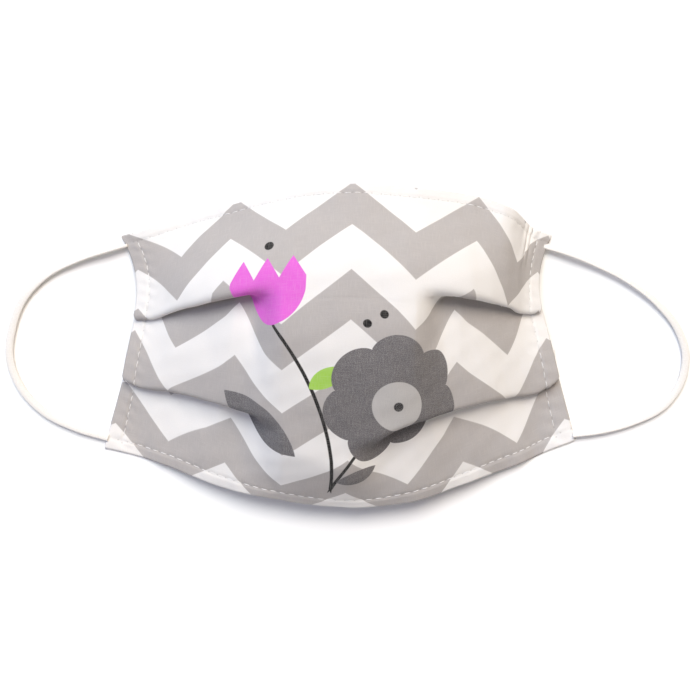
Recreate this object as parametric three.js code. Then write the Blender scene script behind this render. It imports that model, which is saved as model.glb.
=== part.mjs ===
// A pleated cloth face mask lying front side up, with two loose elastic ear loops.
// Millimetres, +X to the mask's right end in front view, +Y to its nose edge, +Z up from the table.
import * as THREE from "three";

// Driving sizes
const MASK_WIDTH = 200;
const MASK_HEIGHT = 132;
const CROWN_HEIGHT = 43;
const WALL = 1;
const LAYER_GAP = 0.9;
const OPEN_LAYER_GAP = 1.7;
const UPPER_OVERLAP = 11.4;
const LOWER_OVERLAP = 9.4;
const SIDE_HEM = 5.5;
const PRESSED_REACH = 35;
const REST_BLEND = 1;
const TOUCH = 0.05;
const PUCKER_DEPTH = 0.8;
const PUCKER_REACH = 24;
const PUCKER_COUNT = 3;
const ELASTIC_WIDTH = 3.5;
const ELASTIC_THICKNESS = 2;
const ELASTIC_GAP = 1.3;

// Mesh steps along the cloth, from the nose edge down to the chin edge
const BAND_STEPS = 7;
const MIDDLE_STEPS = 8;
const TURN_STEPS = 4;
const FLAT_STEPS = 2;
const OPEN_FLAT = 0.8;
const TURN_SUBSTEPS = 12;
const TURN_SAMPLES = 200;
const CHIN_EASE_POWER = 1.5;
const ELASTIC_SIDES = 8;
const ELASTIC_STEP = 8;

// Cross-sections from the left end to the right end. "at" is the share of half the mask's width
// where the section lies on the flat cloth, and "steps" the mesh columns to the next section.
// X columns are shares of half the mask's width, Y columns of half its height, rises of the crown's
// height and overlaps of the deepest one. A negative overlap is a pleat that has opened again.
const EDGE_COLUMNS = [
  "at", "steps", "noseX", "noseY", "noseRise", "bow", "chinX", "chinY", "chinRise", "chinLevel",
];
const EDGE_ROWS = [
  [-1.0, 2, -0.957, 0.721, 0.01, 0.034, -1.03, -0.62, -0.042, 0.4],
  [-0.945, 5, -0.908, 0.738, 0.05, 0.04, -0.967, -0.64, -0.042, 0.4],
  [-0.74, 5, -0.684, 0.831, 0.11, 0.0, -0.764, -0.728, 0.06, 0.2],
  [-0.493, 5, -0.459, 0.904, 0.29, 0.0, -0.532, -0.856, 0.16, 0.0],
  [-0.246, 5, -0.242, 0.974, 0.48, 0.0, -0.286, -0.93, 0.205, -0.05],
  [0.0, 5, 0.012, 0.996, 0.59, 0.0, -0.023, -0.978, 0.205, -0.1],
  [0.246, 5, 0.262, 0.973, 0.55, 0.0, 0.245, -0.947, 0.195, -0.05],
  [0.493, 4, 0.521, 0.931, 0.41, 0.0, 0.487, -0.83, 0.13, 0.0],
  [0.66, 3, 0.673, 0.857, 0.34, 0.0, 0.642, -0.75, 0.06, 0.2],
  [0.74, 10, 0.724, 0.813, 0.13, 0.0, 0.711, -0.714, 0.035, 0.3],
  [0.945, 2, 0.796, 0.748, 0.05, -0.02, 0.876, -0.611, -0.042, 0.4],
  [1.0, 0, 0.845, 0.727, 0.01, -0.029, 0.944, -0.573, -0.042, 0.4],
];
const PLEAT_COLUMNS = [
  "upperX", "upperY", "upperRise", "upperTuckX", "upperOverlap",
  "lowerX", "lowerY", "lowerRise", "lowerTuckX", "lowerOverlap",
];
const PLEAT_ROWS = [
  [-0.895, 0.221, 0.06, -0.872, 1.0, -0.944, -0.166, 0.04, -0.93, 0.52],
  [-0.845, 0.22, 0.11, -0.825, 0.96, -0.896, -0.2, 0.06, -0.886, 0.52],
  [-0.696, 0.281, 0.35, -0.658, 0.35, -0.749, -0.228, 0.16, -0.737, 0.32],
  [-0.498, 0.35, 0.64, -0.434, -0.06, -0.474, -0.326, 0.4, -0.475, -0.12],
  [-0.259, 0.425, 0.8, -0.26, -1.0, -0.266, -0.391, 0.6, -0.267, -1.0],
  [0.005, 0.401, 0.86, 0.004, -1.0, -0.006, -0.52, 0.585, -0.01, -1.0],
  [0.252, 0.409, 0.83, 0.254, -1.0, 0.238, -0.425, 0.575, 0.2, -0.3],
  [0.48, 0.347, 0.65, 0.41, -0.06, 0.431, -0.339, 0.4, 0.402, 0.2],
  [0.596, 0.311, 0.44, 0.556, 0.28, 0.587, -0.282, 0.26, 0.569, 0.55],
  [0.64, 0.295, 0.35, 0.61, 0.41, 0.662, -0.267, 0.16, 0.642, 0.62],
  [0.744, 0.256, 0.11, 0.728, 0.88, 0.817, -0.224, 0.045, 0.793, 0.96],
  [0.793, 0.266, 0.06, 0.775, 0.89, 0.869, -0.17, 0.02, 0.845, 1.0],
];
// How far the cloth leans towards level at its nose edge, from along its own slope. The chin edge's
// share is in the table, and below 0 it leans the other way, as the cloth hangs down to its edge.
const NOSE_LEVEL_SHARE = 0.25;
// The gathered stretch of the nose edge, in shares of half the mask's width
const PUCKER_FROM_SHARE = 0.7;
const PUCKER_TO_SHARE = 0.93;

// Routes of the two elastics on the table, chosen by hand from where each leaves the mask's
// nose corner to where it enters its chin corner: x, y, z of the middle of the elastic
const LEFT_ROUTE = [
  [-102, 41.4, 2.2], [-113.6, 38, 1.6], [-127, 31.8, 1.2], [-137, 21.8, 1.1], [-142, 9.1, 1.1],
  [-143, -3.7, 1.1], [-138.4, -15.7, 1.1], [-129, -25.8, 1.1], [-114.9, -32.8, 1.3],
];
const RIGHT_ROUTE = [
  [91.5, 40.6, 2.2], [102.4, 36.2, 1.6], [115.8, 29.5, 1.2], [128.6, 20.1, 1.1], [137.3, 9.7, 1.1],
  [141.1, -1.6, 1.1], [139.3, -13, 1.1], [131.9, -23.4, 1.1], [119.2, -30.1, 1.1], [105, -34, 1.3],
];
// Where the elastics leave the mask's ends, as shares of half the mask's height
const LEFT_ENDS = [0.66, -0.555];
const RIGHT_ENDS = [0.66, -0.535];

const HALF_WIDTH = MASK_WIDTH / 2;
const HALF_HEIGHT = MASK_HEIGHT / 2;
const HALF_WALL = WALL / 2;
const HEM_SHARE = 1 - SIDE_HEM / HALF_WIDTH;

function nameColumns(columns, row) {
  return Object.fromEntries(columns.map((name, index) => [name, row[index]]));
}

const SECTIONS = EDGE_ROWS.map((row, index) => ({
  ...nameColumns(EDGE_COLUMNS, row),
  ...nameColumns(PLEAT_COLUMNS, PLEAT_ROWS[index]),
}));
SECTIONS[1].at = -HEM_SHARE;
SECTIONS[SECTIONS.length - 2].at = HEM_SHARE;

function smoothStep(value) {
  const t = Math.min(Math.max(value, 0), 1);
  return t * t * (3 - 2 * t);
}

// A section between two rows of the table, on smooth curves through all rows
function sectionBetween(index, t) {
  const [start, end] = [SECTIONS[index], SECTIONS[index + 1]];
  const span = end.at - start.at;
  const section = {};
  for (const name of Object.keys(start)) {
    const rise = end[name] - start[name];
    const startSlope = slopeAt(index, name) * span;
    const endSlope = slopeAt(index + 1, name) * span;
    section[name] = start[name] + rise * t * t * (3 - 2 * t)
      + startSlope * t * (1 - t) * (1 - t) - endSlope * t * t * (1 - t);
  }
  section.at = start.at + span * t;
  return section;
}

function slopeAt(index, name) {
  const slope = (first) => (SECTIONS[first + 1][name] - SECTIONS[first][name])
    / (SECTIONS[first + 1].at - SECTIONS[first].at);
  if (index === 0) return slope(0);
  if (index === SECTIONS.length - 1) return slope(index - 1);
  const before = SECTIONS[index].at - SECTIONS[index - 1].at;
  const after = SECTIONS[index + 1].at - SECTIONS[index].at;
  return (after * slope(index - 1) + before * slope(index)) / (before + after);
}

// Direction of the cloth while it turns by an angle, eased at both ends of the turn
function turnAngle(t, angle) {
  return angle * t * t * (3 - 2 * t);
}

// Height that a full turn of unit length climbs, which ties a turn's length to the layers it parts
const TURN_RISE = Array.from({ length: TURN_SAMPLES }, (_, sample) => (
  Math.sin(turnAngle((sample + 0.5) / TURN_SAMPLES, Math.PI)) / TURN_SAMPLES
)).reduce((sum, value) => sum + value, 0);

function layerSpacing(at) {
  const open = smoothStep((HEM_SHARE - Math.abs(at)) * HALF_WIDTH / PRESSED_REACH);
  return WALL + LAYER_GAP + (OPEN_LAYER_GAP - LAYER_GAP) * open;
}

// Path of a pleat that turns under, runs back and turns forward again: [forward, down] in millimetres
function pleatPath(overlap, deepest, turnLength) {
  const angle = Math.PI * Math.min(1, Math.max(0, 1 + overlap));
  const flat = Math.max(overlap * deepest, OPEN_FLAT);
  const path = [];
  let forward = 0;
  let down = 0;
  const walk = (theta, length) => {
    forward += Math.cos(theta) * length;
    down += Math.sin(theta) * length;
  };
  const turn = (easing) => {
    for (let step = 0; step < TURN_STEPS; step += 1) {
      for (let part = 0; part < TURN_SUBSTEPS; part += 1) {
        const t = (step + (part + 0.5) / TURN_SUBSTEPS) / TURN_STEPS;
        walk(turnAngle(easing(t), angle), turnLength / TURN_STEPS / TURN_SUBSTEPS);
      }
      path.push([forward, down]);
    }
  };
  turn((t) => t);
  for (let step = 0; step < FLAT_STEPS; step += 1) {
    walk(angle, flat / FLAT_STEPS);
    path.push([forward, down]);
  }
  turn((t) => 1 - t);
  return path;
}

// Lifts a height onto the table: what would sink below it lies flat on it
function restOnTable(height) {
  const over = height - HALF_WALL;
  if (over >= REST_BLEND) return height;
  if (over <= -REST_BLEND) return HALF_WALL;
  return HALF_WALL + (over + REST_BLEND) ** 2 / (4 * REST_BLEND);
}

function towardsLevel(direction, share) {
  return direction.clone().multiplyScalar(1 - share).add(new THREE.Vector2(-share, 0)).normalize();
}

// Points of one section of the cloth's middle surface, from the nose edge to the chin edge
function sectionPoints(section) {
  const across = (share) => share * HALF_WIDTH;
  const spacing = layerSpacing(section.at);
  const turnLength = spacing / TURN_RISE;
  const lift = 2 * spacing;
  const nose = new THREE.Vector2(section.noseY * HALF_HEIGHT, section.noseRise * CROWN_HEIGHT + HALF_WALL);
  const upper = new THREE.Vector2(section.upperY * HALF_HEIGHT, section.upperRise * CROWN_HEIGHT + lift);
  const lower = new THREE.Vector2(section.lowerY * HALF_HEIGHT, section.lowerRise * CROWN_HEIGHT + lift);
  const chin = new THREE.Vector2(section.chinY * HALF_HEIGHT, section.chinRise * CROWN_HEIGHT + HALF_WALL);
  const upperSlope = lower.clone().sub(nose).normalize();
  const lowerSlope = chin.clone().sub(upper).normalize();
  const noseSlope = towardsLevel(upper.clone().sub(nose).normalize(), NOSE_LEVEL_SHARE);
  const chinSlope = towardsLevel(chin.clone().sub(lower).normalize(), section.chinLevel);
  const points = [];

  const addBand = (from, to, fromSlope, toSlope, steps, ease, fromX, toX, bow) => {
    const reach = from.distanceTo(to) / 3;
    const curve = new THREE.CubicBezierCurve(
      from,
      from.clone().addScaledVector(fromSlope, reach),
      to.clone().addScaledVector(toSlope, -reach),
      to,
    );
    for (let step = points.length === 0 ? 0 : 1; step <= steps; step += 1) {
      const t = 1 - (1 - step / steps) ** ease;
      const point = curve.getPoint(t);
      const x = THREE.MathUtils.lerp(fromX, toX, t) + bow * 4 * t * (1 - t);
      points.push(new THREE.Vector3(x, point.x, point.y));
    }
  };
  const addPleat = (lip, slope, overlap, deepest, fromX, toX) => {
    const down = new THREE.Vector2(slope.y, -slope.x);
    if (down.y > 0) down.negate();
    const path = pleatPath(overlap, deepest, turnLength);
    let end = lip;
    path.forEach(([forward, drop], index) => {
      end = lip.clone().addScaledVector(slope, forward).addScaledVector(down, drop);
      const x = THREE.MathUtils.lerp(fromX, toX, (index + 1) / path.length);
      points.push(new THREE.Vector3(x, end.x, end.y));
    });
    return end;
  };

  const [upperX, upperTuckX] = [across(section.upperX), across(section.upperTuckX)];
  const [lowerX, lowerTuckX] = [across(section.lowerX), across(section.lowerTuckX)];
  const [noseX, chinX] = [across(section.noseX), across(section.chinX)];
  addBand(nose, upper, noseSlope, upperSlope, BAND_STEPS, 1, noseX, upperX, across(section.bow));
  const middleStart = addPleat(upper, upperSlope, section.upperOverlap, UPPER_OVERLAP, upperX, upperTuckX);
  addBand(middleStart, lower, upperSlope, lowerSlope, MIDDLE_STEPS, 1, upperTuckX, lowerX, 0);
  const lastStart = addPleat(lower, lowerSlope, section.lowerOverlap, LOWER_OVERLAP, lowerX, lowerTuckX);
  addBand(lastStart, chin, lowerSlope, chinSlope, BAND_STEPS, CHIN_EASE_POWER, lowerTuckX, chinX, 0);

  let along = 0;
  points.forEach((point, index) => {
    if (index > 0) along += point.distanceTo(points[index - 1]);
    point.z = restOnTable(point.z + puckerAt(section.at, along));
  });
  return points;
}

// Small gathers that run into the nose edge where it is sewn short
function puckerAt(at, along) {
  const t = (at - PUCKER_FROM_SHARE) / (PUCKER_TO_SHARE - PUCKER_FROM_SHARE);
  if (t <= 0 || t >= 1) return 0;
  const fade = 1 - smoothStep(along / PUCKER_REACH);
  return PUCKER_DEPTH * fade * Math.sin(Math.PI * t) * Math.cos(2 * Math.PI * PUCKER_COUNT * t);
}

function clothGrid() {
  const grid = [];
  SECTIONS.forEach((section, index) => {
    for (let step = 0; step < section.steps; step += 1) {
      grid.push(sectionPoints(sectionBetween(index, step / section.steps)));
    }
  });
  grid.push(sectionPoints(SECTIONS[SECTIONS.length - 1]));
  return grid;
}

function gridNormal(grid, column, row) {
  const columnBefore = grid[Math.max(column - 1, 0)][row];
  const columnAfter = grid[Math.min(column + 1, grid.length - 1)][row];
  const rowBefore = grid[column][Math.max(row - 1, 0)];
  const rowAfter = grid[column][Math.min(row + 1, grid[column].length - 1)];
  const sideways = columnAfter.clone().sub(columnBefore);
  const onwards = rowAfter.clone().sub(rowBefore);
  return onwards.cross(sideways).normalize();
}

// Closed wall of even thickness around a grid of middle points
function wallGeometry(grid) {
  const columns = grid.length;
  const rows = grid[0].length;
  const positions = [];
  for (const side of [1, -1]) {
    for (let column = 0; column < columns; column += 1) {
      for (let row = 0; row < rows; row += 1) {
        const normal = gridNormal(grid, column, row);
        const point = grid[column][row].clone().addScaledVector(normal, side * HALF_WALL);
        positions.push(point.x, point.y, point.z < TOUCH ? 0 : point.z);
      }
    }
  }
  const front = (column, row) => column * rows + row;
  const back = (column, row) => columns * rows + front(column, row);
  const triangles = [];
  const addQuad = (a, b, c, d) => triangles.push(a, b, c, a, c, d);
  for (let column = 0; column < columns - 1; column += 1) {
    for (let row = 0; row < rows - 1; row += 1) {
      addQuad(front(column, row), front(column, row + 1), front(column + 1, row + 1), front(column + 1, row));
      addQuad(back(column, row), back(column + 1, row), back(column + 1, row + 1), back(column, row + 1));
    }
    addQuad(front(column, 0), front(column + 1, 0), back(column + 1, 0), back(column, 0));
    addQuad(front(column, rows - 1), back(column, rows - 1), back(column + 1, rows - 1), front(column + 1, rows - 1));
  }
  for (let row = 0; row < rows - 1; row += 1) {
    addQuad(front(0, row), back(0, row), back(0, row + 1), front(0, row + 1));
    addQuad(front(columns - 1, row), front(columns - 1, row + 1), back(columns - 1, row + 1), back(columns - 1, row));
  }
  const geometry = new THREE.BufferGeometry();
  geometry.setAttribute("position", new THREE.Float32BufferAttribute(positions, 3));
  geometry.setIndex(triangles);
  geometry.computeVertexNormals();
  return geometry;
}

// The point where an elastic meets one end of the mask, a set gap outside its edge
function elasticAnchor(edge, endShare, outward) {
  const height = endShare * HALF_HEIGHT;
  const next = edge.findIndex((point) => point.y < height);
  const [above, below] = [edge[next - 1], edge[next]];
  const point = above.clone().lerp(below, (above.y - height) / (above.y - below.y));
  const z = Math.max(point.z, ELASTIC_THICKNESS / 2 + 0.1);
  return new THREE.Vector3(point.x + outward * ELASTIC_GAP, height, z);
}

function elasticSection() {
  const section = new THREE.Shape();
  for (let side = 0; side < ELASTIC_SIDES; side += 1) {
    const angle = 2 * Math.PI * (side + 0.5) / ELASTIC_SIDES;
    const x = Math.cos(angle) * ELASTIC_THICKNESS / 2;
    const y = Math.sin(angle) * ELASTIC_WIDTH / 2;
    if (side === 0) section.moveTo(x, y);
    else section.lineTo(x, y);
  }
  section.closePath();
  return section;
}

function elasticGeometry(edge, ends, route, outward) {
  const first = elasticAnchor(edge, ends[0], outward);
  const last = elasticAnchor(edge, ends[1], outward);
  const middle = route.map(([x, y, z]) => new THREE.Vector3(x, y, z));
  const curve = new THREE.CatmullRomCurve3([first, ...middle, last], false, "centripetal");
  return new THREE.ExtrudeGeometry(elasticSection(), {
    steps: Math.round(curve.getLength() / ELASTIC_STEP * 2),
    extrudePath: curve,
    bevelEnabled: false,
  });
}

const clothMaterial = new THREE.MeshStandardMaterial({ color: 0xd9d5d4, roughness: 0.9, metalness: 0 });
const elasticMaterial = new THREE.MeshStandardMaterial({ color: 0xf0ede9, roughness: 0.8, metalness: 0 });

const grid = clothGrid();
const maskCloth = new THREE.Mesh(wallGeometry(grid), clothMaterial);
maskCloth.name = "mask_cloth";

const leftEdge = grid[0];
const rightEdge = grid[grid.length - 1];
const earLoopLeft = new THREE.Mesh(elasticGeometry(leftEdge, LEFT_ENDS, LEFT_ROUTE, -1), elasticMaterial);
earLoopLeft.name = "ear_loop_left";
const earLoopRight = new THREE.Mesh(elasticGeometry(rightEdge, RIGHT_ENDS, RIGHT_ROUTE, 1), elasticMaterial);
earLoopRight.name = "ear_loop_right";

const mask = new THREE.Group();
mask.add(maskCloth, earLoopLeft, earLoopRight);

// Stands the cloth's own box centred over the origin with its lowest face on the table
maskCloth.geometry.computeBoundingBox();
const box = maskCloth.geometry.boundingBox;
const centre = box.getCenter(new THREE.Vector3());
mask.children.forEach((mesh) => mesh.position.set(-centre.x, -centre.y, -box.min.z));

export default mask;
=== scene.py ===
"""A pleated cloth face mask laid front side up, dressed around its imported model. Lengths are in metres."""

import math

import bpy
import numpy as np
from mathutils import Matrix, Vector


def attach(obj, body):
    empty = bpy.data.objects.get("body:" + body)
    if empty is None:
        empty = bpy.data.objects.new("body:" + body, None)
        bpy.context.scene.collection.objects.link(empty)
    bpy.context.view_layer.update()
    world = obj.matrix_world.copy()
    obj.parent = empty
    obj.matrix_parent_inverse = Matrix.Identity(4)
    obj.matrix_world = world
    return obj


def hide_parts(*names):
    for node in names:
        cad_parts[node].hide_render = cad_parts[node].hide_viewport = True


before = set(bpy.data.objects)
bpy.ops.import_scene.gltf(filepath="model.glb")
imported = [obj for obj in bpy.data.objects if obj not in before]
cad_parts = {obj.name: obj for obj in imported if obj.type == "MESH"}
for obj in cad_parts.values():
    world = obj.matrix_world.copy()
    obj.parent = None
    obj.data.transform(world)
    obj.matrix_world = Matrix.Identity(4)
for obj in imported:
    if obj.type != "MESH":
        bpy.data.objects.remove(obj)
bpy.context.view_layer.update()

# Sizes of the sewn cloth, the same as in the part's source
MASK_WIDTH = 0.200
MASK_HEIGHT = 0.132
CLOTH_LENGTH = 0.144
CROWN_HEIGHT = 0.043
WALL = 0.001
LAYER_GAP = 0.0009
OPEN_LAYER_GAP = 0.0017
UPPER_OVERLAP = 0.0114
LOWER_OVERLAP = 0.0094
SIDE_HEM = 0.0055
NOSE_HEM = 0.0036
CHIN_HEM = 0.0044
PRESSED_REACH = 0.035
REST_BLEND = 0.001
PUCKER_DEPTH = 0.0008
PUCKER_REACH = 0.024
PUCKER_COUNT = 3
PUCKER_FROM = 0.70
PUCKER_TO = 0.93
NOSE_LEVEL_SHARE = 0.25
HALF_WIDTH = MASK_WIDTH / 2
HALF_HEIGHT = MASK_HEIGHT / 2
HALF_WALL = WALL / 2
HEM_SHARE = 1 - SIDE_HEM / HALF_WIDTH

# Cross-sections of the cloth from its left end to its right end, as in the part's source. "at" is a
# section's place across the flat cloth. X columns and bow, the upper band's curve to the right, are shares
# of half the mask's width, Y columns of half its height and rises of the crown's height. Overlaps are
# shares of the deepest one, and -1 is an opened pleat. chin_level turns the cloth level at its chin edge,
# and cloth columns say how far down the flat cloth each pleat's lip lies.
COLUMNS = (
    "at nose_x nose_y nose_rise bow chin_x chin_y chin_rise chin_level "
    "upper_x upper_y upper_rise upper_tuck_x upper_overlap upper_cloth "
    "lower_x lower_y lower_rise lower_tuck_x lower_overlap lower_cloth"
).split()
SECTIONS = [
    [-1.0, -0.957, 0.721, 0.01, 0.034, -1.03, -0.62, -0.042, 0.4,
     -0.895, 0.221, 0.06, -0.872, 1.0, 0.272, -0.944, -0.166, 0.04, -0.93, 0.52, 0.646],
    [-HEM_SHARE, -0.908, 0.738, 0.05, 0.04, -0.967, -0.64, -0.042, 0.4,
     -0.845, 0.22, 0.11, -0.825, 0.96, 0.271, -0.896, -0.2, 0.06, -0.886, 0.52, 0.652],
    [-0.74, -0.684, 0.831, 0.11, 0.0, -0.764, -0.728, 0.06, 0.2,
     -0.696, 0.281, 0.35, -0.658, 0.35, 0.271, -0.749, -0.228, 0.16, -0.737, 0.32, 0.654],
    [-0.493, -0.459, 0.904, 0.29, 0.0, -0.532, -0.856, 0.16, 0.0,
     -0.498, 0.35, 0.64, -0.434, -0.06, 0.283, -0.474, -0.326, 0.4, -0.475, -0.12, 0.653],
    [-0.246, -0.242, 0.974, 0.48, 0.0, -0.286, -0.93, 0.205, -0.05,
     -0.259, 0.425, 0.8, -0.26, -1.0, 0.271, -0.266, -0.391, 0.6, -0.267, -1.0, 0.676],
    [0.0, 0.012, 0.996, 0.59, 0.0, -0.023, -0.978, 0.205, -0.1,
     0.005, 0.401, 0.86, 0.004, -1.0, 0.292, -0.006, -0.52, 0.585, -0.01, -1.0, 0.725],
    [0.246, 0.262, 0.973, 0.55, 0.0, 0.245, -0.947, 0.195, -0.05,
     0.252, 0.409, 0.83, 0.254, -1.0, 0.271, 0.238, -0.425, 0.575, 0.2, -0.3, 0.669],
    [0.493, 0.521, 0.931, 0.41, 0.0, 0.487, -0.83, 0.13, 0.0,
     0.48, 0.347, 0.65, 0.41, -0.06, 0.272, 0.431, -0.339, 0.4, 0.402, 0.2, 0.651],
    [0.66, 0.673, 0.857, 0.34, 0.0, 0.642, -0.75, 0.06, 0.2,
     0.596, 0.311, 0.44, 0.556, 0.28, 0.265, 0.587, -0.282, 0.26, 0.569, 0.55, 0.648],
    [0.74, 0.724, 0.813, 0.13, 0.0, 0.711, -0.714, 0.035, 0.3,
     0.64, 0.295, 0.35, 0.61, 0.41, 0.266, 0.662, -0.267, 0.16, 0.642, 0.62, 0.652],
    [HEM_SHARE, 0.796, 0.748, 0.05, -0.02, 0.876, -0.611, -0.042, 0.4,
     0.744, 0.256, 0.11, 0.728, 0.88, 0.265, 0.817, -0.224, 0.045, 0.793, 0.96, 0.659],
    [1.0, 0.845, 0.727, 0.01, -0.029, 0.944, -0.573, -0.042, 0.4,
     0.793, 0.266, 0.06, 0.775, 0.89, 0.265, 0.869, -0.17, 0.02, 0.845, 1.0, 0.646],
]

# Straight run that stays between a pleat's two turns where it is opened, as in the part's source
OPEN_FLAT = 0.0008

# Mesh fineness of the cloth: length of its steps, usual length of a band, and steps in a pleat
FINE_STEP = 0.00045
PLAIN_STEP = 0.00105
FINE_BORDER = 0.008
BAND_LENGTH = CLOTH_LENGTH / 3.7
TURN_STEPS = 9
FLAT_STEPS = 5
TURN_SUBSTEPS = 4

# Samples for the height that a turn gains
TURN_SAMPLES = 200

# Lockstitch thread
STITCH_PITCH = 0.0037
STITCH_SHARE = 0.72
THREAD_RADIUS = 0.00016
SIDE_THREAD_RISE = 0.00020
EDGE_THREAD_RISE = 0.00005
THREAD_SINK = 0.00028
GROOVE_DEPTH = 0.00017
GROOVE_WIDTH = 0.0008
# Each stitch from its start to its end: share of its length, depth (1 is sunk by THREAD_SINK, -1 is
# raised by the stitch's rise) and share of the thread's radius
STITCH_SHAPE = [
    (-0.04, 1.0, 0.45), (0.08, 0.45, 0.85), (0.28, -0.6, 1.0), (0.5, -1.0, 1.05),
    (0.72, -0.6, 1.0), (0.92, 0.45, 0.85), (1.04, 1.0, 0.45),
]
STITCH_SIDES = 7

# Small relief of the cloth's front: puckers beside the seams, step of the hems and soft wrinkles
SIDE_PUCKER = 0.00015
SIDE_PUCKER_WIDTH = 0.0045
EDGE_PUCKER = 0.00010
EDGE_PUCKER_WIDTH = 0.004
HEM_STEP = 0.00018
HEM_STEP_WIDTH = 0.0012
WRINKLE_HEIGHT = 0.00028
WRINKLE_BORDER = 0.004
WRINKLE_FADE = 0.02
BACK_RELIEF_SHARE = 0.6
FRONT_LEAST_HEIGHT = WALL * 0.6

# Faint line across the middle, where the opened upper pleat was pressed
PRESS_LINE = 0.0486
PRESS_DEPTH = 0.00010
PRESS_WIDTH = 0.0006
PRESS_HALF_LENGTH = 0.012
PRESS_FADE = 0.016

# Soft elastic of the ear loops
ELASTIC_WIDTH = 0.0035
ELASTIC_THICKNESS = 0.0016
ELASTIC_RIB = 0.0011
ELASTIC_SIDES = 20
ELASTIC_RINGS = 520
ELASTIC_GROOVE = 0.06
RIB_WIDTH_SHARE = 0.04
RIB_THICKNESS_SHARE = 0.10
ROLL_SPREAD = 41
ROUTE_SAMPLES = 4000
PATH_STEP = 4
LEFT_ROUTE = [
    (-0.0935, 0.0439, 0.0018), (-0.102, 0.0414, 0.0022), (-0.1136, 0.038, 0.0016),
    (-0.127, 0.0318, 0.0012), (-0.137, 0.0218, 0.0011), (-0.142, 0.0091, 0.0011),
    (-0.143, -0.0037, 0.0011), (-0.1384, -0.0157, 0.0011), (-0.129, -0.0258, 0.0011),
    (-0.1149, -0.0328, 0.0013), (-0.1015, -0.0368, 0.0012),
]
RIGHT_ROUTE = [
    (0.0815, 0.0439, 0.0018), (0.0915, 0.0406, 0.0022), (0.1024, 0.0362, 0.0016),
    (0.1158, 0.0295, 0.0012), (0.1286, 0.0201, 0.0011), (0.1373, 0.0097, 0.0011),
    (0.1411, -0.0016, 0.0011), (0.1393, -0.013, 0.0011), (0.1319, -0.0234, 0.0011),
    (0.1192, -0.0301, 0.0011), (0.105, -0.034, 0.0013), (0.0935, -0.0355, 0.0012),
]
# How far the flat side of each elastic is turned up, in degrees, at even steps along its route
LEFT_ROLLS = [-80, -70, -45, -25, -10, 0, 5, 10, 10, 15, 15]
RIGHT_ROLLS = [35, 50, 55, 50, 35, 10, 0, -10, -20, -30, -38, -45]

# Camera straight above the middle of the photograph
CAMERA_HEIGHT = 0.475
PHOTO_PIXELS = 700
FOCAL_PIXELS = 1127
SENSOR_WIDTH = 36

# Floor, just below the cloth's lowest points
FLOOR_HALF = 2.0
FLOOR_DROP = 0.00005


def smooth_step(t):
    t = np.clip(t, 0, 1)
    return t * t * (3 - 2 * t)


def unit(vector):
    return vector / np.linalg.norm(vector, axis=-1, keepdims=True)


def sections_at(ats):
    """Every column of the table at shares across the mask, on smooth curves through all its rows."""
    table = np.array(SECTIONS)
    span = np.diff(table[:, 0])
    chord = np.diff(table, axis=0) / span[:, None]
    slope = np.empty_like(table)
    slope[0], slope[-1] = chord[0], chord[-1]
    before, after = span[:-1, None], span[1:, None]
    slope[1:-1] = (after * chord[:-1] + before * chord[1:]) / (before + after)
    first = np.clip(np.searchsorted(table[:, 0], ats) - 1, 0, len(table) - 2)
    width = span[first][:, None]
    t = (ats[:, None] - table[first, :1]) / width
    values = (
        table[first]
        + (table[first + 1] - table[first]) * t * t * (3 - 2 * t)
        + slope[first] * width * t * (1 - t) ** 2
        - slope[first + 1] * width * t * t * (1 - t)
    )
    found = dict(zip(COLUMNS, values.T))
    found["at"] = ats
    return found


def turn_angle(t, angle):
    """Heading of the cloth along a turn, eased at both of its ends."""
    return angle * t * t * (3 - 2 * t)


# Height that a turn through half a circle gains, as a share of its length
TURN_RISE = np.sin(turn_angle((np.arange(TURN_SAMPLES) + 0.5) / TURN_SAMPLES, np.pi)).mean()


def layer_spacing(at):
    """Distance between a pleat's layers, which grows from its pressed end towards the middle."""
    opened = smooth_step((HEM_SHARE - np.abs(at)) * HALF_WIDTH / PRESSED_REACH)
    return WALL + LAYER_GAP + (OPEN_LAYER_GAP - LAYER_GAP) * opened


def pleat_path(overlap, deepest, turn_length):
    """Forward, down and cloth lengths of a pleat that turns under, runs back and turns forward again."""
    angle = np.pi * np.clip(1 + overlap, 0, 1)
    flat = np.maximum(overlap * deepest, OPEN_FLAT)
    count = TURN_STEPS * TURN_SUBSTEPS
    parts = ((np.arange(count) + 0.5) / count).reshape(TURN_STEPS, TURN_SUBSTEPS)
    headings = [turn_angle(part[:, None], angle) for part in parts]
    turn = [(heading, turn_length / TURN_STEPS) for heading in headings]
    back = [(angle[None], flat / FLAT_STEPS)] * FLAT_STEPS
    forward = down = cloth = np.zeros_like(overlap)
    path = []
    for heading, length in turn + back + [(heading[::-1], length) for heading, length in turn[::-1]]:
        forward = forward + np.cos(heading).mean(0) * length
        down = down + np.sin(heading).mean(0) * length
        cloth = cloth + length
        path.append((forward, down, cloth))
    return path


def rest_on_table(height):
    """Lifts heights onto the table: what would sink below it lies flat on it."""
    over = height - HALF_WALL
    blended = HALF_WALL + (over + REST_BLEND) ** 2 / (4 * REST_BLEND)
    return np.where(over >= REST_BLEND, height, np.where(over <= -REST_BLEND, HALF_WALL, blended))


def towards_level(direction, share):
    """The direction turned by a share towards level, down the mask."""
    return unit(direction * (1 - share) + share * np.array([-1.0, 0.0]))


def shares(length, fine_start=0.0, fine_end=0.0):
    """Rising shares from 0 to 1 of a length, in fine steps near its fine ends."""
    plain = length - fine_start - fine_end
    stops = [0.0]
    for stretch, step in ((fine_start, FINE_STEP), (plain, PLAIN_STEP), (fine_end, FINE_STEP)):
        if stretch > 0:
            count = max(1, round(stretch / step))
            stops += list(stops[-1] + stretch * (np.arange(count) + 1) / count)
    return np.array(stops) / length


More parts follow.
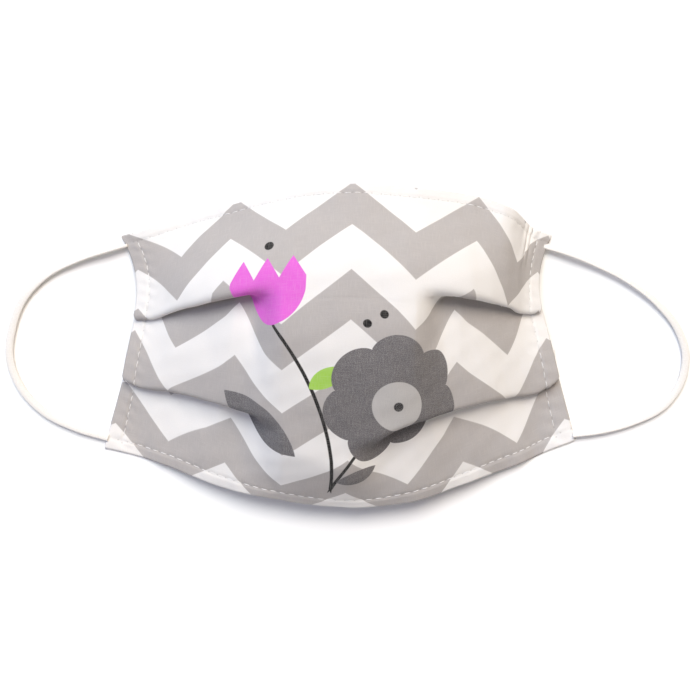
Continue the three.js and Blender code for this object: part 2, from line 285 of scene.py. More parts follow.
def cloth_grid(ats):
    """The cloth's middle surface [column, row, xyz], and each point's place on the flat cloth."""
    s = sections_at(ats)
    spacing = layer_spacing(ats)
    turn_length = spacing / TURN_RISE
    lift = 2 * spacing
    none = np.zeros_like(lift)
    places = []
    cloths = []

    def corner(name, extra):
        return np.stack([s[name + "_y"] * HALF_HEIGHT, s[name + "_rise"] * CROWN_HEIGHT + extra], -1)

    def add_band(ends, slopes, stops, across, bow, cloth):
        start, end = ends
        reach = np.linalg.norm(end - start, axis=-1, keepdims=True) / 3
        leave, arrive = start + slopes[0] * reach, end - slopes[1] * reach
        points = [
            (1 - t) ** 3 * start + 3 * (1 - t) ** 2 * t * leave + 3 * (1 - t) * t * t * arrive + t**3 * end
            for t in stops
        ]
        lengths = [none]
        for before, after in zip(points[:-1], points[1:]):
            lengths.append(lengths[-1] + np.linalg.norm(after - before, axis=-1))
        skipped = 1 if places else 0
        for t, point, length in list(zip(stops, points, lengths))[skipped:]:
            x = across[0] + (across[1] - across[0]) * t + bow * 4 * t * (1 - t)
            places.append(np.column_stack([x, point]))
            cloths.append(cloth[0] + (cloth[1] - cloth[0]) * length / lengths[-1])

    def add_pleat(lip, slope, overlap, deepest, across, lip_cloth):
        down = np.stack([slope[:, 1], -slope[:, 0]], -1)
        down = np.where(down[:, 1:] > 0, -down, down)
        path = pleat_path(overlap, deepest, turn_length)
        for index, (forward, drop, cloth) in enumerate(path):
            end = lip + slope * forward[:, None] + down * drop[:, None]
            x = across[0] + (across[1] - across[0]) * (index + 1) / len(path)
            places.append(np.column_stack([x, end]))
            cloths.append(lip_cloth + cloth)
        return end, lip_cloth + cloth

    nose, chin = corner("nose", HALF_WALL), corner("chin", HALF_WALL)
    upper, lower = corner("upper", lift), corner("lower", lift)
    upper_slope, lower_slope = unit(lower - nose), unit(chin - upper)
    nose_slope = towards_level(unit(upper - nose), NOSE_LEVEL_SHARE)
    chin_slope = towards_level(unit(chin - lower), s["chin_level"][:, None])
    x = {name: s[name] * HALF_WIDTH for name in COLUMNS if name.endswith("_x")}
    upper_cloth, lower_cloth = s["upper_cloth"] * CLOTH_LENGTH, s["lower_cloth"] * CLOTH_LENGTH

    add_band((nose, upper), (nose_slope, upper_slope), shares(BAND_LENGTH, fine_start=FINE_BORDER),
             (x["nose_x"], x["upper_x"]), s["bow"] * HALF_WIDTH, (none, upper_cloth))
    start, start_cloth = add_pleat(upper, upper_slope, s["upper_overlap"], UPPER_OVERLAP,
                                   (x["upper_x"], x["upper_tuck_x"]), upper_cloth)
    add_band((start, lower), (upper_slope, lower_slope), shares(BAND_LENGTH),
             (x["upper_tuck_x"], x["lower_x"]), none, (start_cloth, lower_cloth))
    start, start_cloth = add_pleat(lower, lower_slope, s["lower_overlap"], LOWER_OVERLAP,
                                   (x["lower_x"], x["lower_tuck_x"]), lower_cloth)
    add_band((start, chin), (lower_slope, chin_slope), shares(BAND_LENGTH, fine_end=FINE_BORDER),
             (x["lower_tuck_x"], x["chin_x"]), none, (start_cloth, none + CLOTH_LENGTH))

    grid = np.stack(places, 1)
    steps = np.linalg.norm(np.diff(grid, axis=1), axis=-1)
    along = np.concatenate([none[:, None], np.cumsum(steps, 1)], 1)
    t = np.clip((ats[:, None] - PUCKER_FROM) / (PUCKER_TO - PUCKER_FROM), 0, 1)
    waves = np.sin(np.pi * t) * np.cos(2 * np.pi * PUCKER_COUNT * t)
    grid[..., 2] += PUCKER_DEPTH * (1 - smooth_step(along / PUCKER_REACH)) * waves
    grid[..., 2] = rest_on_table(grid[..., 2])
    flat_across = np.broadcast_to((ats * HALF_WIDTH)[:, None], along.shape)
    return grid, np.stack([flat_across, np.stack(cloths, 1)], -1)


def grid_normals(grid):
    sideways = np.gradient(grid, axis=0)
    onwards = np.gradient(grid, axis=1)
    return unit(np.cross(onwards, sideways))


def bump(distance, width):
    return np.exp(-((distance / width) ** 2))


def cloth_relief(flat):
    """Height of the cloth's front above its smooth form, at places on the flat cloth."""
    across, down = flat[..., 0], flat[..., 1]
    from_side = HALF_WIDTH - np.abs(across)
    from_chin = CLOTH_LENGTH - down
    groove = np.maximum.reduce([
        bump(from_side - SIDE_HEM, GROOVE_WIDTH),
        bump(down - NOSE_HEM, GROOVE_WIDTH),
        bump(from_chin - CHIN_HEM, GROOVE_WIDTH),
    ])
    side_near = bump(from_side - SIDE_HEM, SIDE_PUCKER_WIDTH)
    nose_near = bump(down - NOSE_HEM, EDGE_PUCKER_WIDTH)
    edge_near = np.maximum(nose_near, bump(from_chin - CHIN_HEM, EDGE_PUCKER_WIDTH))
    side_pucker = np.sin(down * 1150 + 2.1 * np.sin(across * 300)) * side_near
    edge_pucker = np.sin(across * 990 + 1.7 * np.sin(down * 260 + across * 61)) * edge_near
    puckers = SIDE_PUCKER * side_pucker + EDGE_PUCKER * edge_pucker
    from_hem = np.minimum.reduce([from_side - SIDE_HEM, down - NOSE_HEM, from_chin - CHIN_HEM])
    hem = HEM_STEP * smooth_step(-from_hem / HEM_STEP_WIDTH)
    past_press = smooth_step((np.abs(across) - PRESS_HALF_LENGTH) / PRESS_FADE)
    pressed = bump(down - PRESS_LINE, PRESS_WIDTH) * (1 - past_press)
    x, y = across / MASK_WIDTH, down / CLOTH_LENGTH
    soft = (
        np.sin(21 * x + 9 * y + 1.3) * np.sin(13 * y - 6 * x + 0.4)
        + 0.7 * np.sin(44 * x - 17 * y + 2.0) * np.sin(23 * y + 11 * x)
        + 0.45 * np.sin(83 * x + 31 * y) * np.sin(57 * y - 26 * x + 0.9)
    )
    wrinkles = WRINKLE_HEIGHT * soft * smooth_step((from_side - WRINKLE_BORDER) / WRINKLE_FADE)
    return puckers + hem + wrinkles - GROOVE_DEPTH * groove - PRESS_DEPTH * pressed


def new_mesh(name, points, faces):
    mesh = bpy.data.meshes.new(name)
    mesh.from_pydata(points, [], faces)
    mesh.validate()
    mesh.shade_smooth()
    piece = bpy.data.objects.new(name, mesh)
    bpy.context.scene.collection.objects.link(piece)
    return piece


def closed_cloth(name, grid, front, back, flat):
    """One closed body from the front and back of the cloth with rounded rims between them.

    Its first material is for the front and the second for the back.
    """
    columns, rows = grid.shape[:2]
    count = columns * rows
    index = np.arange(count).reshape(columns, rows)
    loop = np.concatenate([index[:, 0], index[-1, 1:], index[-2::-1, -1], index[0, -2:0:-1]])
    inner = np.concatenate([
        grid[:, 1], grid[-2, 1:], grid[-2::-1, -2], grid[1, -2:0:-1],
    ])
    outward = unit(grid.reshape(-1, 3)[loop] - inner)
    rim = (front.reshape(-1, 3)[loop] + back.reshape(-1, 3)[loop]) / 2 + outward * HALF_WALL
    points = np.concatenate([front.reshape(-1, 3), back.reshape(-1, 3), rim])
    a, b, c, d = index[:-1, :-1], index[:-1, 1:], index[1:, 1:], index[1:, :-1]
    front_faces = np.stack([a, b, c, d], -1).reshape(-1, 4)
    back_faces = np.stack([a, d, c, b], -1).reshape(-1, 4) + count
    ring = np.arange(len(loop)) + 2 * count
    loop_next, ring_next = np.roll(loop, -1), np.roll(ring, -1)
    upper_rim = np.stack([loop, loop_next, ring_next, ring], -1)
    lower_rim = np.stack([ring, ring_next, loop_next + count, loop + count], -1)
    faces = np.concatenate([front_faces, back_faces, upper_rim, lower_rim])
    piece = new_mesh(name, points.tolist(), faces.tolist())
    flat_points = flat.reshape(-1, 2)
    spots = np.concatenate([flat_points, flat_points, flat_points[loop]])
    spots = spots / np.array([MASK_WIDTH, CLOTH_LENGTH]) + np.array([0.5, 0.0])
    corners = np.empty(len(piece.data.loops), np.int32)
    piece.data.loops.foreach_get("vertex_index", corners)
    layer = piece.data.uv_layers.new(name="flat_cloth")
    layer.data.foreach_set("uv", spots[corners].astype(np.float32).ravel())
    sides = [0] * len(front_faces) + [1] * len(back_faces) + [0] * len(loop) + [1] * len(loop)
    piece.data.polygons.foreach_set("material_index", sides)
    return piece


def tube(centres, sides_of, ring_sides):
    """A closed tube of rings round its centres, with each ring's offsets from sides_of."""
    count = len(centres)
    points = [tuple(point) for index in range(count) for point in sides_of(index)]
    faces = []
    for ring in range(count - 1):
        for side in range(ring_sides):
            following = (side + 1) % ring_sides
            a, b = ring * ring_sides + side, ring * ring_sides + following
            faces.append((a, b, b + ring_sides, a + ring_sides))
    points += [tuple(centres[0]), tuple(centres[-1])]
    last = (count - 1) * ring_sides
    for side in range(ring_sides):
        following = (side + 1) % ring_sides
        faces.append((following, side, len(points) - 2))
        faces.append((last + side, last + following, len(points) - 1))
    return points, faces


def smooth_route(route, count):
    """Evenly spaced points on one smooth curve through the chosen ones."""
    chosen = np.array(route)
    knots = np.concatenate([[0], np.cumsum(np.linalg.norm(np.diff(chosen, axis=0), axis=-1))])
    slopes = np.gradient(chosen, knots, axis=0, edge_order=1)
    fine = np.linspace(0, knots[-1], ROUTE_SAMPLES)
    first = np.clip(np.searchsorted(knots, fine) - 1, 0, len(knots) - 2)
    span = (knots[first + 1] - knots[first])[:, None]
    t = (fine[:, None] - knots[first][:, None]) / span
    curve = (
        (2 * t**3 - 3 * t**2 + 1) * chosen[first] + (t**3 - 2 * t**2 + t) * span * slopes[first]
        + (3 * t**2 - 2 * t**3) * chosen[first + 1] + (t**3 - t**2) * span * slopes[first + 1]
    )
    lengths = np.concatenate([[0], np.cumsum(np.linalg.norm(np.diff(curve, axis=0), axis=-1))])
    places = np.linspace(0, lengths[-1], count)
    return np.column_stack([np.interp(places, lengths, curve[:, axis]) for axis in range(3)]), lengths[-1]


def make_elastic(name, route, shift, rolls):
    """A ribbed flat-oval elastic that turns over slowly as it lies on the table."""
    centres, length = smooth_route(route, ELASTIC_RINGS)
    centres = centres + shift
    heading = unit(np.gradient(centres, axis=0))
    sideways = unit(np.cross(heading, np.array([0, 0, 1.0])))
    upward = np.cross(sideways, heading)
    place = np.linspace(0, 1, ELASTIC_RINGS)
    roll = np.radians(np.interp(place, np.linspace(0, 1, len(rolls)), rolls))
    spread = np.ones(ROLL_SPREAD) / ROLL_SPREAD
    roll = np.convolve(np.pad(roll, ROLL_SPREAD // 2, mode="edge"), spread, mode="valid")
    rib = 0.5 + 0.5 * np.cos(2 * np.pi * place * length / ELASTIC_RIB)
    ring = 2 * np.pi * np.arange(ELASTIC_SIDES) / ELASTIC_SIDES
    half_width = ELASTIC_WIDTH / 2 * (1 - RIB_WIDTH_SHARE * (1 - rib))
    half_thick = ELASTIC_THICKNESS / 2 * (1 - RIB_THICKNESS_SHARE * (1 - rib))
    groove = 1 - ELASTIC_GROOVE * np.abs(np.cos(3 * ring)) ** 6
    flat_x = np.cos(ring) * groove
    flat_y = np.sin(ring) * groove
    low = np.hypot(half_width * np.sin(roll), half_thick * np.cos(roll))
    centres[:, 2] = np.maximum(centres[:, 2], low)

    def sides_of(index):
        wide = np.cos(roll[index]) * sideways[index] + np.sin(roll[index]) * upward[index]
        thick = np.cos(roll[index]) * upward[index] - np.sin(roll[index]) * sideways[index]
        return (
            centres[index]
            + np.outer(flat_x * half_width[index], wide)
            + np.outer(flat_y * half_thick[index], thick)
        )

    points, faces = tube(centres, sides_of, ELASTIC_SIDES)
    piece = new_mesh(name, points, faces)
    path = centres[::PATH_STEP]
    reach = float(np.linalg.norm(np.diff(path, axis=0), axis=-1).sum())
    return piece, path, reach


class ClothPlaces:
    """Finds the cloth's front surface and normal at a place on the flat cloth."""

    def __init__(self, front, normals, flat):
        self.front, self.normals = front, normals
        self.across = flat[:, 0, 0]
        self.down = flat[..., 1]

    def at(self, across, down):
        column = np.interp(across, self.across, np.arange(len(self.across)))
        first = min(int(column), len(self.across) - 2)
        share = column - first
        found = []
        for values in (self.front, self.normals):
            sides = [
                [np.interp(down, self.down[one], values[one][:, axis]) for axis in range(3)]
                for one in (first, first + 1)
            ]
            found.append(np.array(sides[0]) * (1 - share) + np.array(sides[1]) * share)
        return found[0], unit(found[1])


def stitch_places():
    """Start, end and rise of every stitch on the flat cloth, one row along each edge."""
    side = HALF_WIDTH - SIDE_HEM
    gap = (1 - STITCH_SHARE) / 2
    first, last = math.ceil(NOSE_HEM / STITCH_PITCH), math.floor((CLOTH_LENGTH - CHIN_HEM) / STITCH_PITCH)
    for number in range(first, last):
        start, end = (number + gap) * STITCH_PITCH, (number + 1 - gap) * STITCH_PITCH
        for across in (-side, side):
            yield (across, start), (across, end), SIDE_THREAD_RISE
    reach = math.floor(side / STITCH_PITCH)
    for number in range(-reach, reach):
        start, end = (number + gap) * STITCH_PITCH, (number + 1 - gap) * STITCH_PITCH
        for down in (NOSE_HEM, CLOTH_LENGTH - CHIN_HEM):
            yield (start, down), (end, down), EDGE_THREAD_RISE


def make_stitches(places):
    """Every stitch as one short thread that dips into the cloth at both ends."""
    points = []
    faces = []
    turns = 2 * np.pi * np.arange(STITCH_SIDES) / STITCH_SIDES
    for start, end, rise in stitch_places():
        centres, ups = [], []
        for share, depth, _ in STITCH_SHAPE:
            spot = np.array(start) + (np.array(end) - np.array(start)) * share
            point, normal = places.at(*spot)
            offset = -depth * rise if depth < 0 else -depth * THREAD_SINK
            centres.append(point + normal * offset)
            ups.append(normal)
        centres = np.array(centres)
        heading = unit(np.gradient(centres, axis=0))
        sideways = unit(np.cross(heading, np.array(ups)))
        upward = np.cross(sideways, heading)

        def sides_of(index):
            radius = THREAD_RADIUS * STITCH_SHAPE[index][2]
            return (centres[index] + radius * np.outer(np.cos(turns), sideways[index])
                    + radius * np.outer(np.sin(turns), upward[index]))

        stitch_points, stitch_faces = tube(centres, sides_of, STITCH_SIDES)
        base = len(points)
        points += stitch_points
        faces += [tuple(corner + base for corner in face) for face in stitch_faces]
    return new_mesh("seam_stitches", points, faces)


class Maths:
    """Plain arithmetic written as shader nodes."""

    def __init__(self, tree, socket):
        self.tree, self.socket = tree, socket

    def _join(self, operation, *others, swap=False):
        node = self.tree.nodes.new("ShaderNodeMath")
        node.operation = operation
        values = [self, *others]
        if swap:
            values.reverse()
        for place, value in zip(node.inputs, values):
            if isinstance(value, Maths):
                self.tree.links.new(value.socket, place)
            else:
                place.default_value = value
        return Maths(self.tree, node.outputs[0])

    def __add__(self, other):
        return self._join("ADD", other)

    def __sub__(self, other):
        return self._join("SUBTRACT", other)

    def __rsub__(self, other):
        return self._join("SUBTRACT", other, swap=True)

    def __mul__(self, other):
        return self._join("MULTIPLY", other)

    def __truediv__(self, other):
        return self._join("DIVIDE", other)

    def minimum(self, other):
        return self._join("MINIMUM", other)

    def maximum(self, other):
        return self._join("MAXIMUM", other)

    def power(self, other):
        return self._join("POWER", other)

    def fraction(self):
        return self._join("FRACT")

    def absolute(self):
        return self._join("ABSOLUTE")

    def sine(self):
        return self._join("SINE")

    def cosine(self):
        return self._join("COSINE")

    def root(self):
        return self._join("SQRT")

    def angle_with(self, other):
        return self._join("ARCTAN2", other)

    def above(self, edge, soft):
        """0 below the edge and 1 above it, with a soft step of that width."""
        node = self.tree.nodes.new("ShaderNodeMapRange")
        node.interpolation_type = "SMOOTHSTEP"
        self.tree.links.new(self.socket, node.inputs["Value"])
        for name, value in (("From Min", edge - soft / 2), ("From Max", edge + soft / 2)):
            node.inputs[name].default_value = value
        return Maths(self.tree, node.outputs[0])

    def below(self, edge, soft):
        return 1 - self.above(edge, soft)


def new_material(name):
    material = bpy.data.materials.new(name)
    material.use_nodes = True
    tree = material.node_tree
    shader = tree.nodes["Principled BSDF"]
    return material, tree, shader


def mix(tree, factor, first, second, blend="MIX"):
    node = tree.nodes.new("ShaderNodeMix")
    node.data_type = "RGBA"
    node.blend_type = blend
    links = tree.links
    factor_in, first_in, second_in = node.inputs[0], node.inputs[6], node.inputs[7]
    if isinstance(factor, Maths):
        links.new(factor.socket, factor_in)
    else:
        factor_in.default_value = factor
    for place, colour in ((first_in, first), (second_in, second)):
        if isinstance(colour, tuple):
            place.default_value = (*colour, 1)
        else:
            links.new(colour, place)
    return node.outputs[2]


def noise(tree, vector, scale, detail=2.0):
    node = tree.nodes.new("ShaderNodeTexNoise")
    node.inputs["Scale"].default_value = scale
    node.inputs["Detail"].default_value = detail
    tree.links.new(vector, node.inputs["Vector"])
    return Maths(tree, node.outputs["Fac"])


def place_vector(tree, x, y):
    node = tree.nodes.new("ShaderNodeCombineXYZ")
    for place, value in zip(node.inputs, (x, y)):
        tree.links.new(value.socket, place)
    return node.outputs[0]


def distance(x, y, centre):
    dx, dy = x - centre[0], y - centre[1]
    return (dx * dx + dy * dy).root()


def turned(x, y, centre, degrees):
    """Coordinates about a centre, turned so that the first runs along a direction."""
    cos, sin = math.cos(math.radians(degrees)), math.sin(math.radians(degrees))
    dx, dy = x - centre[0], y - centre[1]
    return dx * cos + dy * sin, dy * cos - dx * sin


# Print on the cloth, in millimetres across from its middle and down from its nose edge. The zigzags'
# height and the first row's place are counted in stripes, and PRINT_TURN is the rows' slope.
CHEVRON_PERIOD = 49.3
STRIPE = 19.26
ZIGZAG = 1.06
PRINT_START = 0.05
PRINT_TURN = 0.0137
EDGE_SOFT = 0.30
WEAVE_PERIOD = 0.46
NEEDLE_HOLE = 0.30

# Colours as linear shares of red, green and blue
WHITE = (0.84, 0.82, 0.805)
GREY = (0.46, 0.432, 0.421)
PALE_GREY = (0.50, 0.485, 0.475)
DARK_GREY = (0.130, 0.122, 0.127)
PINK = (0.74, 0.135, 0.64)
LIME = (0.38, 0.65, 0.10)
BLACK = (0.012, 0.011, 0.012)
SLUB_COLOUR = (0.80, 0.77, 0.71)
FLECK_COLOUR = (0.62, 0.60, 0.60)
# HOLE_SHADE_COLOUR is painted shade inside the needle holes
HOLE_SHADE_COLOUR = (0.06, 0.055, 0.055)
# ELASTIC_SHADE and THREAD_SHADE are painted shade between the fibres
ELASTIC_COLOUR = (0.93, 0.91, 0.88)
ELASTIC_SHADE = (0.78, 0.75, 0.71)
THREAD_COLOUR = (0.90, 0.89, 0.88)
THREAD_SHADE = (0.74, 0.73, 0.72)

# How strongly thick yarns, flecks of the print and the painted shade in needle holes show, and how much of
# the
#  print shows through on the cloth's back
SLUB_SHARE = 0.20
FLECK_SHARE = 0.24
HOLE_SHADE_SHARE = 0.20
BACK_INK = 0.10


def union(shapes):
    """Strength of the strongest of several shapes."""
    joined = shapes[0]
    for shape in shapes[1:]:
        joined = joined.maximum(shape)
    return joined


def leaf(x, y, centre, degrees, length, width):
    """A pointed leaf: the overlap of two circles that meet at its two tips."""
    along, beside = turned(x, y, centre, degrees)
    half, side = length / 2, width / 2
    radius = (half * half + side * side) / (2 * side)
    reach = distance(along, beside.absolute(), (0.0, side - radius))
    return reach.below(radius, EDGE_SOFT)


def arc(x, y, start, end, bulge, width):
    """A thin curved stem between two points that bulges to one side."""
    (x0, y0), (x1, y1) = start, end
    chord = math.hypot(x1 - x0, y1 - y0)
    radius = (chord * chord / 4 + bulge * bulge) / (2 * abs(bulge))
    side = math.copysign(1, bulge)
    middle = ((x0 + x1) / 2, (y0 + y1) / 2)
    away = (-(y1 - y0) / chord * side, (x1 - x0) / chord * side)
    centre = (middle[0] - away[0] * (radius - abs(bulge)), middle[1] - away[1] * (radius - abs(bulge)))
    on_line = (distance(x, y, centre) - radius).absolute().below(width / 2, EDGE_SOFT)
    beyond = (x - middle[0]) * away[0] + (y - middle[1]) * away[1]
    return on_line * beyond.above(-0.2, 0.2)


def blossom(x, y, centre, radius, petals, depth, degrees):
    """A round flower with scalloped petals."""
    dx, dy = turned(x, y, centre, degrees)
    lobes = (dy.angle_with(dx) * (petals / 2)).cosine().absolute().power(0.7)
    edge = lobes * (radius * depth) + radius * (1 - depth)
    return ((dx * dx + dy * dy).root() - edge).below(0.0, EDGE_SOFT)


def tulip(x, y, centre, width, height):
    """A cup with a round foot and three pointed tips."""
    dx, dy = x - centre[0], y - centre[1]
    half = width / 2
    bowl = ((dx / half).power(2) + (dy.maximum(0.0) / (height * 0.55)).power(2)).root()
    inside = bowl.below(1.0, EDGE_SOFT / half)
    tips = ((dx / width * 3 + 0.5).fraction() - 0.5).absolute() * 2
    top = (dy + height * 0.45 - tips * (height * 0.30)).above(0.0, EDGE_SOFT)
    return inside * top


def print_colour(tree, x, y):
    """Colour of chevrons with a generic flower design over them, and where that design is dark grey."""
    zigzag = ((x / CHEVRON_PERIOD + 0.5).fraction() - 0.5).absolute() * 2
    row = (y - x * PRINT_TURN) / STRIPE - zigzag * ZIGZAG + PRINT_START
    stripe = (row * math.pi).sine().above(0.0, 2 * math.pi * EDGE_SOFT / STRIPE)
    colour = mix(tree, stripe, WHITE, GREY)
    flower, bloom, fork = (19.0, 90.0), (-31.0, 43.0), (-6.0, 133.0)
    layers = [
        (arc(x, y, fork, (12.0, 104.0), -3.0, 1.3), BLACK),
        (arc(x, y, (-29.0, 57.0), fork, -7.0, 1.3), BLACK),
        (leaf(x, y, (-36.0, 102.0), 38.0, 42.0, 16.0), DARK_GREY),
        (leaf(x, y, (-8.5, 80.0), -38.0, 15.0, 7.5), LIME),
        (leaf(x, y, (4.0, 124.0), -20.0, 17.0, 7.0), DARK_GREY),
        (blossom(x, y, flower, 29.0, 7, 0.15, 12.0), DARK_GREY),
        (distance(x, y, flower).below(10.5, EDGE_SOFT), PALE_GREY),
        (distance(x, y, flower).below(2.0, EDGE_SOFT), BLACK),
        (tulip(x, y, bloom, 30.0, 27.0), PINK),
        (distance(x, y, (-31.0, 25.5)).below(1.9, EDGE_SOFT), BLACK),
        (distance(x, y, (6.0, 58.0)).below(1.6, EDGE_SOFT), BLACK),
        (distance(x, y, (12.0, 54.0)).below(1.6, EDGE_SOFT), BLACK),
    ]
    for shape, ink in layers:
        colour = mix(tree, shape, colour, ink)
    return colour, union([shape for shape, ink in layers if ink == DARK_GREY])


def cloth_material(name, ink):
    """Woven cotton whose print shows at full strength at an ink of 1 and is absent at 0."""
    material, tree, shader = new_material(name)
    spot = tree.nodes.new("ShaderNodeUVMap")
    spot.uv_map = "flat_cloth"
    split = tree.nodes.new("ShaderNodeSeparateXYZ")
    tree.links.new(spot.outputs[0], split.inputs[0])
    x = (Maths(tree, split.outputs[0]) - 0.5) * (MASK_WIDTH * 1000)
    y = Maths(tree, split.outputs[1]) * (CLOTH_LENGTH * 1000)
    design, dark = print_colour(tree, x, y)
    printed = mix(tree, ink, WHITE, design)

    warp = noise(tree, place_vector(tree, x * 4.2, y * 0.22), 1.0, 1.0)
    weft = noise(tree, place_vector(tree, x * 0.18, y * 4.4), 1.0, 1.0)
    slubs = (warp.above(0.58, 0.24) * 0.5).maximum(weft.above(0.60, 0.24) * 0.5)
    threaded = mix(tree, slubs * SLUB_SHARE, printed, SLUB_COLOUR)
    mottle = noise(tree, place_vector(tree, x, y), 3.2, 3.0)
    flecks = mottle.above(0.54, 0.12) * dark * (FLECK_SHARE * ink)
    flecked = mix(tree, flecks, threaded, FLECK_COLOUR)
    wave = 2 * math.pi / WEAVE_PERIOD
    weave = (x * wave).sine() * (y * wave).sine()
    # Painted shade between the threads of the weave, together with random mottled tone, darkens the cloth's
    # colour
    weave_shade_and_mottle = (weave * 0.045 + mottle * 0.06 + 0.955).minimum(1.0)
    weave_shade_and_mottle_colour = tree.nodes.new("ShaderNodeCombineColor")
    for place in weave_shade_and_mottle_colour.inputs:
        tree.links.new(weave_shade_and_mottle.socket, place)
    weave_shaded = mix(tree, 1.0, flecked, weave_shade_and_mottle_colour.outputs[0], "MULTIPLY")

    side = ((x.absolute() - (HALF_WIDTH - SIDE_HEM) * 1000).absolute(), y)
    nose = ((y - NOSE_HEM * 1000).absolute(), x)
    chin = ((y - (CLOTH_LENGTH - CHIN_HEM) * 1000).absolute(), x)
    pitch = STITCH_PITCH * 1000
    rows = []
    for beside, along in (side, nose, chin):
        step = ((along / pitch + 0.5).fraction() - 0.5) * pitch
        rows.append((beside * beside + step * step).root().below(NEEDLE_HOLE, NEEDLE_HOLE))
    holes = union(rows)
    # Painted shade darkens the cloth in the needle holes along the seams
    hole_shaded = mix(tree, holes * HOLE_SHADE_SHARE, weave_shaded, HOLE_SHADE_COLOUR)
    tree.links.new(hole_shaded, shader.inputs["Base Color"])

    relief = weave * 0.5 + mottle * 0.8 + slubs * 0.8 - holes * 1.2
    bumps = tree.nodes.new("ShaderNodeBump")
    bumps.inputs["Strength"].default_value = 0.55
    bumps.inputs["Distance"].default_value = 0.00010
    tree.links.new(relief.socket, bumps.inputs["Height"])
    tree.links.new(bumps.outputs[0], shader.inputs["Normal"])
    shader.inputs["Roughness"].default_value = 0.92
    shader.inputs["Specular IOR Level"].default_value = 0.18
    shader.inputs["Sheen Weight"].default_value = 0.08
    shader.inputs["Sheen Roughness"].default_value = 0.6
    return material


def fibre_material(name, colour, dark, scale, distance_up):
    """Thread or elastic: fine fibres with painted shade between them."""
    material, tree, shader = new_material(name)
    where = tree.nodes.new("ShaderNodeTexCoord")
    fibres = noise(tree, where.outputs["Object"], scale, 3.0)
    tree.links.new(mix(tree, fibres.above(0.5, 0.5) * 0.6, dark, colour), shader.inputs["Base Color"])
    bumps = tree.nodes.new("ShaderNodeBump")
    bumps.inputs["Strength"].default_value = 0.5
    bumps.inputs["Distance"].default_value = distance_up
    tree.links.new(fibres.socket, bumps.inputs["Height"])
    tree.links.new(bumps.outputs[0], shader.inputs["Normal"])
    shader.inputs["Roughness"].default_value = 0.8
    shader.inputs["Specular IOR Level"].default_value = 0.25
    shader.inputs["Sheen Weight"].default_value = 0.15
    return material


def make_camera(above):
    data = bpy.data.cameras.new("photo_camera")
    data.sensor_width = SENSOR_WIDTH
    data.lens = SENSOR_WIDTH * FOCAL_PIXELS / PHOTO_PIXELS
    data.clip_start = 0.01
    camera = bpy.data.objects.new("photo_camera", data)
    bpy.context.scene.collection.objects.link(camera)
    camera.location = (above[0], above[1], CAMERA_HEIGHT)
    bpy.context.scene.camera = camera


def aim(thing, target):
    thing.rotation_euler = (Vector(target) - thing.location).to_track_quat("-Z", "Y").to_euler()


def make_sun(name, azimuth, elevation, spread, power, colour):
    """A distant soft light from an azimuth and elevation in degrees."""
    data = bpy.data.lights.new(name, "SUN")
    data.energy = power
    data.angle = math.radians(spread)
    data.color = colour
    light = bpy.data.objects.new(name, data)
    turn, climb = math.radians(azimuth), math.radians(elevation)
    light.location = (math.cos(climb) * math.cos(turn), math.cos(climb) * math.sin(turn), math.sin(climb))
    bpy.context.scene.collection.objects.link(light)
    aim(light, (0, 0, 0))


def make_floor():
    signs = ((-1, -1), (1, -1), (1, 1), (-1, 1))
    floor = new_mesh("floor", [(x * FLOOR_HALF, y * FLOOR_HALF, 0) for x, y in signs], [(0, 1, 2, 3)])
    floor.location.z = -FLOOR_DROP
    material, tree, shader = new_material("pale_floor")
    where = tree.nodes.new("ShaderNodeTexCoord")
    cloud = noise(tree, where.outputs["Object"], 6.0, 2.0)
    tree.links.new(mix(tree, cloud, (0.93, 0.93, 0.93), (0.95, 0.95, 0.95)), shader.inputs["Base Color"])
    shader.inputs["Roughness"].default_value = 0.9
    shader.inputs["Specular IOR Level"].default_value = 0.1
    floor.data.materials.append(material)


def make_world():
    world = bpy.data.worlds.new("studio")
    world.use_nodes = True
    background = world.node_tree.nodes["Background"]
    background.inputs["Color"].default_value = (0.96, 0.97, 1.0, 1)
    background.inputs["Strength"].default_value = 0.045
    bpy.context.scene.world = world


def cloth_columns():
    """Shares across the mask, in fine steps near both side hems."""
    return shares(MASK_WIDTH, fine_start=FINE_BORDER, fine_end=FINE_BORDER) * 2 - 1


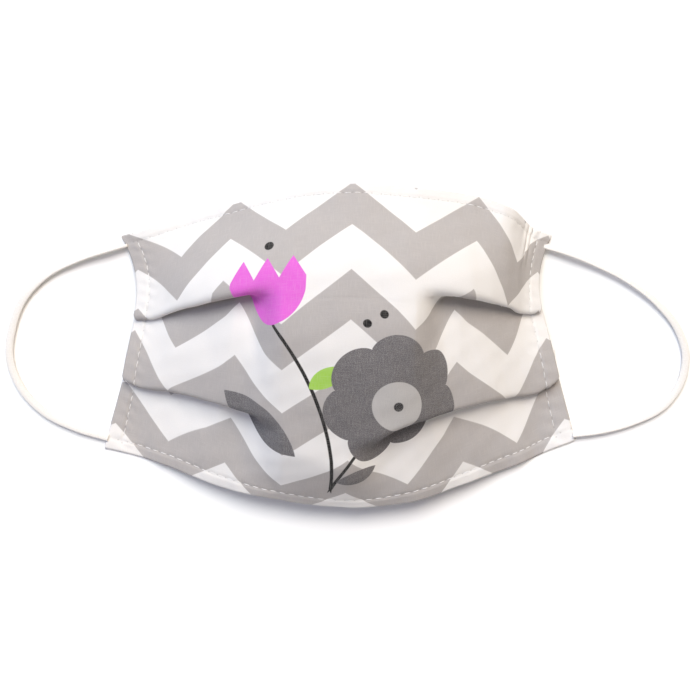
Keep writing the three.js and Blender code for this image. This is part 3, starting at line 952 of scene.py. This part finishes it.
# The surface, stood over the origin as the part's is
columns = cloth_columns()
middle, flat_places = cloth_grid(columns)
plain_normals = grid_normals(middle)
skins = np.concatenate([middle + plain_normals * HALF_WALL, middle - plain_normals * HALF_WALL])
low, high = skins.reshape(-1, 3).min(0), skins.reshape(-1, 3).max(0)
shift = np.array([-(low[0] + high[0]) / 2, -(low[1] + high[1]) / 2, 0.0])
middle = middle + shift

make_camera(shift)

# Ear loops
elastic = fibre_material("soft_elastic", ELASTIC_COLOUR, ELASTIC_SHADE, 2600, 0.00006)
for name, node, route, rolls in (
    ("elastic_left", "ear_loop_left", LEFT_ROUTE, LEFT_ROLLS),
    ("elastic_right", "ear_loop_right", RIGHT_ROUTE, RIGHT_ROLLS),
):
    loop, loop_path, loop_length = make_elastic(name, route, shift, rolls)
    loop.data.materials.append(elastic)
    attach(loop, "root")
    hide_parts(node)

relief = cloth_relief(flat_places)[..., None] * plain_normals
front = middle + plain_normals * HALF_WALL + relief
back = middle - plain_normals * HALF_WALL + relief * BACK_RELIEF_SHARE
front[..., 2] = np.maximum(front[..., 2], FRONT_LEAST_HEIGHT)
back[..., 2] = np.maximum(back[..., 2], 0)
cloth = closed_cloth("mask_fabric", middle, front, back, flat_places)
cloth.data.materials.append(cloth_material("printed_front", 1.0))
cloth.data.materials.append(cloth_material("pale_back", BACK_INK))
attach(cloth, "root")
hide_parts("mask_cloth")

stitches = make_stitches(ClothPlaces(front, plain_normals, flat_places))
stitches.data.materials.append(
    fibre_material("white_thread", THREAD_COLOUR, THREAD_SHADE, 5200, 0.00003)
)
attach(stitches, "root")

# A large window beyond the nose edge, with a warm and a cool side, and what the room throws back
make_floor()
make_world()
make_sun("window", 90, 53, 42, 3.12, (1.0, 0.98, 0.92))
make_sun("warm_window", 55, 42, 35, 0.52, (1.0, 0.60, 0.30))
make_sun("cool_window", 125, 42, 35, 0.50, (0.30, 0.60, 1.0))
make_sun("cool_side", 180, 45, 40, 0.60, (0.50, 0.60, 1.0))
make_sun("bounce", 285, 45, 60, 0.70, (1.0, 0.91, 0.82))
bpy.context.scene.view_settings.view_transform = "Standard"
